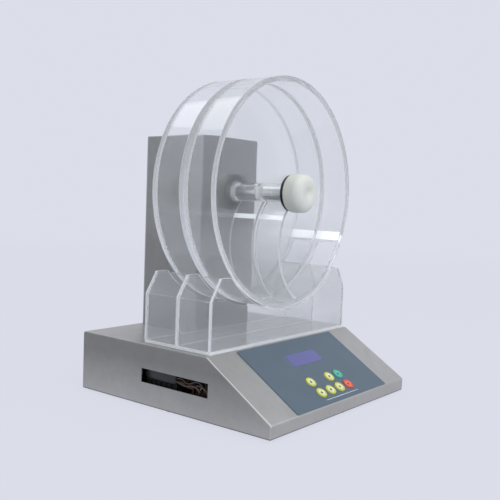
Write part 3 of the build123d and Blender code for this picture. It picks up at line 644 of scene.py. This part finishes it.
# The keys, each a ringed cap with a mark on its centre; columns, rows and heights are those of the panel
KEY_RADIUS = 0.0075
KEY_PITCH = 0.0209
KEY_FIRST = -0.0318
KEY_LOW = 0.0189
KEY_HIGH = 0.038
KEY_TOP = 0.0022
KEY_UNDER = -0.0016
KEY_TURNS = 48
KEYS = {
    "key_left_upper": (0, KEY_HIGH, "up"),
    "key_right_upper": (2, KEY_HIGH, "down"),
    "key_left_lower": (0, KEY_LOW, "left"),
    "key_middle_lower": (1, KEY_LOW, "dot"),
    "key_right_lower": (2, KEY_LOW, "right"),
    "start_key": (3, KEY_HIGH, "dot"),
    "stop_key": (3, KEY_LOW, "dot"),
}
KEY_LOOKS = {
    "start_key": ([key_green, key_green_centre], "key_green"),
    "stop_key": ([key_red, key_red_centre], "key_red"),
}
FLANGE_WIDTH, FLANGE_THICK = 0.0012, 0.001
RING_RADIUS, RING_SLOPE, LIP_ROUND, DISH = 0.0052, 0.0003, 0.0007, 0.0004
TURNS = {"right": 0, "up": 90, "left": 180, "down": 270}
ARROW_SIDES, ARROW_RADIUS = 3, 0.0026
DOT_SIDES, DOT_RADIUS = 24, 0.0017
MARK_HEIGHTS = (-0.0001, 0.00006)


def make_key(name, column, row, mark):
    materials, slot_name = KEY_LOOKS.get(name, ([key_yellow, key_pale], "key_yellow"))
    place = PANEL @ Matrix.Translation((KEY_FIRST + column * KEY_PITCH, row, 0))
    flange = KEY_RADIUS + FLANGE_WIDTH
    dish = KEY_TOP - DISH
    profile = [(0, KEY_UNDER - FLANGE_THICK), (flange, KEY_UNDER - FLANGE_THICK), (flange, KEY_UNDER),
               (KEY_RADIUS, KEY_UNDER)]
    profile += list(arc((KEY_RADIUS - LIP_ROUND, KEY_TOP - LIP_ROUND), LIP_ROUND, 0, 90, 5))
    bands = [0] * len(profile)
    profile += [(RING_RADIUS + RING_SLOPE, KEY_TOP), (RING_RADIUS, dish), (0, dish)]
    bands += [0, 1]
    mesh = revolved(profile, place, KEY_TURNS, bands)
    cap = piece_from(name + "_cap", mesh, name + "_body", materials)
    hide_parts(name)
    sides, radius = (DOT_SIDES, DOT_RADIUS) if mark == "dot" else (ARROW_SIDES, ARROW_RADIUS)
    lean = math.radians(TURNS.get(mark, 0))
    mesh = bmesh.new()
    low, high = (ring_of(mesh, place, radius, dish + height, sides, lean) for height in MARK_HEIGHTS)
    joined(mesh, low, high)
    closed(mesh, low, high)
    piece_from(name + "_mark", mesh, name + "_body", [key_mark])


for key, (column, row, mark) in KEYS.items():
    make_key(key, column, row, mark)

# The printed rule under the keys
RULE_LOW = (-0.0343, 0.0066, OVERLAY_TOP - 0.0001)
RULE_HIGH = (0.0402, 0.0074, OVERLAY_TOP + 0.00005)


def make_rule():
    mesh = bmesh.new()
    bmesh.ops.create_cube(mesh, size=1.0)
    size = Vector(high - low for low, high in zip(RULE_LOW, RULE_HIGH))
    middle = Vector((low + high) / 2 for low, high in zip(RULE_LOW, RULE_HIGH))
    for vert in mesh.verts:
        vert.co = PANEL @ (Vector(a * b for a, b in zip(vert.co, size)) + middle)
    piece_from("rule_lower", mesh, "base", [print_white])


make_rule()

# Wiring behind the slot
WIRE_RADIUS = 0.0012
LOOM_WIRES, BARE_WIRE = 5, 2
LOOM_STEP, LOOM_RISE, TERMINAL_STEP = 0.0022, 0.0022, 0.007
LOOP_STEP = 0.0012
LOOPS = ((0.0475, 0.0385, 0.050), (0.044, 0.0345, 0.057), (0.041, 0.037, 0.044))


def wire(name, points, material):
    curve = bpy.data.curves.new(name, "CURVE")
    curve.dimensions = "3D"
    curve.bevel_depth = WIRE_RADIUS
    curve.bevel_resolution = 3
    spline = curve.splines.new("NURBS")
    spline.points.add(len(points) - 1)
    for point, place in zip(spline.points, points):
        point.co = (*place, 1.0)
    spline.order_u = 3
    spline.use_endpoint_u = True
    curve.materials.append(material)
    made = bpy.data.objects.new(name, curve)
    scene.collection.objects.link(made)
    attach(made, "base")


def make_loom():
    """Hook-up wires from the terminal block towards the panel, and the supply's own leads in loops."""
    low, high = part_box("terminal_block")
    for index in range(LOOM_WIRES):
        x = low[0] + 0.0035 + LOOM_STEP * index
        y = low[1] + 0.006 + TERMINAL_STEP * index
        rise = high[2] + 0.003 + LOOM_RISE * (index % 3)
        wire("loom_%d" % index, [
            (x, y, high[2] - 0.002),
            (x, y - 0.001, rise + 0.004),
            (x + 0.001, y - 0.012, rise + 0.003),
            (x + 0.004, low[1] - 0.012, rise - 0.008 + 0.002 * index),
            (x + 0.012, low[1] - 0.03, 0.02 + 0.003 * index),
        ], copper if index == BARE_WIRE else wire_brown)
    x, y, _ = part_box("power_supply")[0]
    for index, (top, bottom, reach) in enumerate(LOOPS):
        side = x - 0.0022 - LOOP_STEP * index
        wire("loop_%d" % index, [
            (side + 0.003, y + 0.002, bottom + 0.003),
            (side, y - 0.008, top - 0.001),
            (side, y - reach * 0.42, bottom),
            (side, y - reach * 0.72, top),
            (side, y - reach, bottom - 0.002),
            (side + 0.004, y - reach * 0.8, bottom - 0.010),
        ], wire_brown)


SLEEVE_BOTTOM, SLEEVE_DROP, SLEEVE_SUNK = 0.0335, 0.001, 0.0004
SLEEVE_BULGE, SLEEVE_STEPS, SLEEVE_FULLNESS = 0.0042, 12, 0.6
SLEEVE_ENDS = ((0.0005, 0.45), (0.0015, 0.25), (0.004, 0.0))


def make_sleeve():
    """The supply's insulating sleeve: a rounded cover over the side that the slot shows, drawn in at its ends."""
    low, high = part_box("power_supply")
    top = high[2] - SLEEVE_DROP
    middle = (top + SLEEVE_BOTTOM) / 2
    mesh = bmesh.new()
    rings = []
    for y, shrink in ([(low[1] + inset, shrink) for inset, shrink in SLEEVE_ENDS]
                      + [(high[1] - inset, shrink) for inset, shrink in SLEEVE_ENDS[::-1]]):
        half = (top - SLEEVE_BOTTOM) / 2 * (1 - shrink / 3)
        bulge = SLEEVE_BULGE * (1 - shrink)
        angles = [math.pi * step / SLEEVE_STEPS for step in range(SLEEVE_STEPS + 1)]
        rings.append([mesh.verts.new((low[0] + SLEEVE_SUNK - bulge * math.sin(angle) ** SLEEVE_FULLNESS, y,
                                      middle - half * math.cos(angle))) for angle in angles])
    for first, second in zip(rings, rings[1:]):
        joined(mesh, first, second)
    closed(mesh, rings[0], rings[-1])
    piece_from("supply_sleeve", mesh, "base", [sleeve_grey])


make_loom()
make_sleeve()

# The stage: one floor, pale light from the sky and soft lamps
FLOOR_RADIUS, FLOOR_SIDES = 40.0, 64
FLOOR_FADE = (0.5, 3.5, 0.9, 1.0)     # near and far of the object, and how much plain backdrop the floor shows there
SKY_COLOUR, SKY_STRENGTH = (0.86, 0.88, 0.93), 0.55
MIDDLE = (0, 0, 0.2)
LAMPS = {
    "key_lamp": ((0.1, -1.6, 2.2), 3.2, 2.2, 34),
    "top_lamp": ((-0.3, 0.3, 2.4), 3.0, 3.0, 27),
    "side_lamp": ((-2.2, -2.2, 0.6), 2.4, 1.2, 16),
    "front_lamp": ((0.9, -2.8, 0.5), 2.4, 1.0, 10),
}


def make_floor():
    """A wide floor of the backdrop's own tone, which still takes the object's shadow."""
    mesh = bmesh.new()
    bmesh.ops.create_circle(mesh, cap_ends=True, segments=FLOOR_SIDES, radius=FLOOR_RADIUS)
    data = bpy.data.meshes.new("floor")
    mesh.to_mesh(data)
    mesh.free()
    floor = bpy.data.objects.new("floor", data)
    scene.collection.objects.link(floor)
    made = Recipe("floor_pale", Roughness=0.9, Specular_IOR_Level=0.1)
    patch = made.noise(0.8, 2)
    base = times(BACKDROP, FLOOR_SHARE)
    made.feed(made.blend(made.spread(patch, 0.4, 0.6, 0.0, 0.3), base, times(base, 0.97)), "Base Color")
    reach = made.add("ShaderNodeVectorMath", operation="LENGTH")
    made.link(made.coordinates(), reach.inputs[0])
    share = made.calc("MULTIPLY", made.seen(), made.spread(reach.outputs["Value"], *FLOOR_FADE))
    made.surface(made.mixed(share, made.shader.outputs[0], made.shade("Emission", BACKDROP)))
    data.materials.append(made.material)


def make_sky():
    """A plain sky that lights the object, and shows as the backdrop's tone."""
    world = bpy.data.worlds.new("sky")
    scene.world = world
    world.use_nodes = True
    sky = Tree(world.node_tree)
    plain = sky.tree.nodes["Background"]
    light = sky.fill(plain, SKY_COLOUR, SKY_STRENGTH)
    shown = sky.mixed(sky.seen(), light, sky.shade("Background", BACKDROP))
    sky.link(shown, sky.tree.nodes["World Output"].inputs["Surface"])


def make_lamp(name, place, width, height, power):
    light = bpy.data.lights.new(name, "AREA")
    light.shape = "RECTANGLE"
    light.size = width
    light.size_y = height
    light.energy = power
    made = bpy.data.objects.new(name, light)
    made.location = place
    made.rotation_euler = (Vector(MIDDLE) - Vector(place)).to_track_quat("-Z", "Y").to_euler()
    scene.collection.objects.link(made)


def make_camera():
    data = bpy.data.cameras.new("camera")
    data.sensor_width = SENSOR
    data.lens = CAMERA_LENS
    data.clip_start = CAMERA_NEAR
    camera = bpy.data.objects.new("camera", data)
    forward = (CAMERA_TARGET - CAMERA_PLACE).normalized()
    right = forward.cross(Vector((0, 0, 1))).normalized()
    up = right.cross(forward)
    tilted_right = right * math.cos(CAMERA_ROLL) + up * math.sin(CAMERA_ROLL)
    tilted_up = up * math.cos(CAMERA_ROLL) - right * math.sin(CAMERA_ROLL)
    turn = Matrix((tilted_right, tilted_up, -forward)).transposed().to_4x4()
    camera.matrix_world = Matrix.Translation(CAMERA_PLACE) @ turn
    scene.collection.objects.link(camera)
    scene.camera = camera


make_floor()
make_sky()
make_camera()
for name, (place, width, height, power) in LAMPS.items():
    make_lamp(name, place, width, height, power)
scene.view_settings.view_transform = "Standard"
